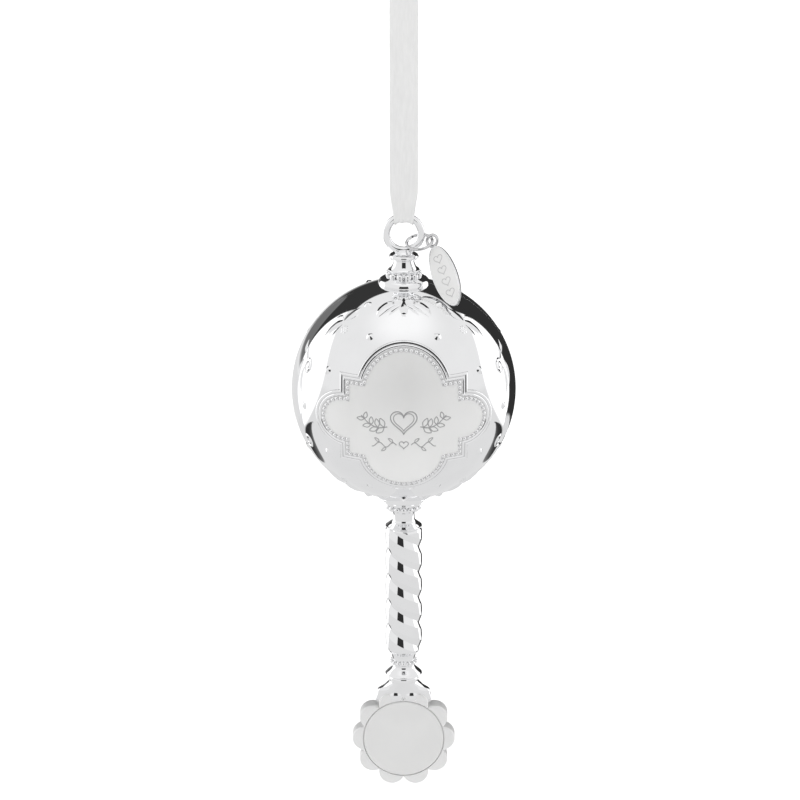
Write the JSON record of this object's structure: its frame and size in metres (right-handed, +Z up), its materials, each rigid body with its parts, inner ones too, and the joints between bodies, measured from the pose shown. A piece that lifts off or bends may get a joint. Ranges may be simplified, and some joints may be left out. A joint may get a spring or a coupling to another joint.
{
  "type": "hanging keepsake baby rattle",
  "caption": "Silver-plated keepsake rattle with a hollow ball, raised cartouche, twisted handle, lobed medallion foot, hanging ring, oval charm and ribbon loop.",
  "frame": {"origin": "middle of the ribbon's knot, where the rattle hangs", "axes": "+Z up along the ribbon and the handle's axis, -Y towards the front cartouche, +X to the charm's side"},
  "size_m": [0.051, 0.0518, 0.2048],
  "materials": {
    "polished_silver": "mirror-bright silver plate",
    "satin_silver": "finely brushed silver plate",
    "plain_steel": "plain machined steel, hidden inside",
    "white_ribbon": "white satin ribbon"
  },
  "bodies": {
    "hang_loop": {"ribbon_knot": "white_ribbon"},
    "ribbon": {"hanging_ribbon": "white_ribbon"},
    "rattle": {"suspension_ring": "polished_silver", "finial_collar": "polished_silver", "finial_neck": "polished_silver", "finial_bead_ring": "polished_silver", "ball_top_cap": "polished_silver", "finial_stud": "plain_steel", "ball_front_shell": "polished_silver", "ball_rear_shell": "polished_silver", "front_frame": "polished_silver", "rear_frame": "polished_silver", "front_plaque": "satin_silver", "rear_plaque": "satin_silver", "ball_base_cap": "polished_silver", "base_bead_ring": "polished_silver", "handle_neck": "polished_silver", "twisted_handle": "polished_silver", "lower_ferrule": "polished_silver", "lower_bead_ring": "polished_silver", "lower_disc": "polished_silver", "foot_neck": "polished_silver", "medallion": "polished_silver", "medallion_front_plate": "satin_silver", "medallion_back_plate": "satin_silver", "handle_rod": "plain_steel"},
    "jump_ring": {"jump_ring": "polished_silver"},
    "charm": {"oval_charm": "satin_silver"},
    "pellet_1": {"rattle_pellet_1": "plain_steel"},
    "pellet_2": {"rattle_pellet_2": "plain_steel"},
    "pellet_3": {"rattle_pellet_3": "plain_steel"},
    "pellet_4": {"rattle_pellet_4": "plain_steel"}
  },
  "joints": [
    {"name": "ribbon_twist", "type": "hinge", "parent": "hang_loop", "child": "ribbon", "pos_m": [0, 0, -0.002], "axis": [0, 0, 1], "range_deg": [-90, 90], "stiffness_Nm_per_rad": 0.0001},
    {"name": "rattle_swing", "type": "hinge", "parent": "ribbon", "child": "rattle", "pos_m": [0, 0, -0.05652], "axis": [1, 0, 0], "range_deg": [-20, 20]},
    {"name": "jump_ring_slide", "type": "hinge", "parent": "rattle", "child": "jump_ring", "pos_m": [0, 0, -0.06045], "axis": [0, -1, 0], "range_deg": [0, 45]},
    {"name": "charm_swing", "type": "hinge", "parent": "jump_ring", "child": "charm", "pos_m": [0.00637, -0.0003, -0.06205], "axis": [0, -1, 0], "range_deg": [0, 50]},
    {"name": "pellet_1_roll", "type": "hinge", "parent": "rattle", "child": "pellet_1", "pos_m": [0, 0, -0.097], "axis": [0, 1, 0], "continuous": true},
    {"name": "pellet_2_roll", "type": "hinge", "parent": "rattle", "child": "pellet_2", "pos_m": [0, 0, -0.097], "axis": [0, 1, 0], "continuous": true},
    {"name": "pellet_3_roll", "type": "hinge", "parent": "rattle", "child": "pellet_3", "pos_m": [0, 0, -0.097], "axis": [0, 1, 0], "continuous": true},
    {"name": "pellet_4_roll", "type": "hinge", "parent": "rattle", "child": "pellet_4", "pos_m": [0, 0, -0.097], "axis": [0, 1, 0], "continuous": true}
  ]
}
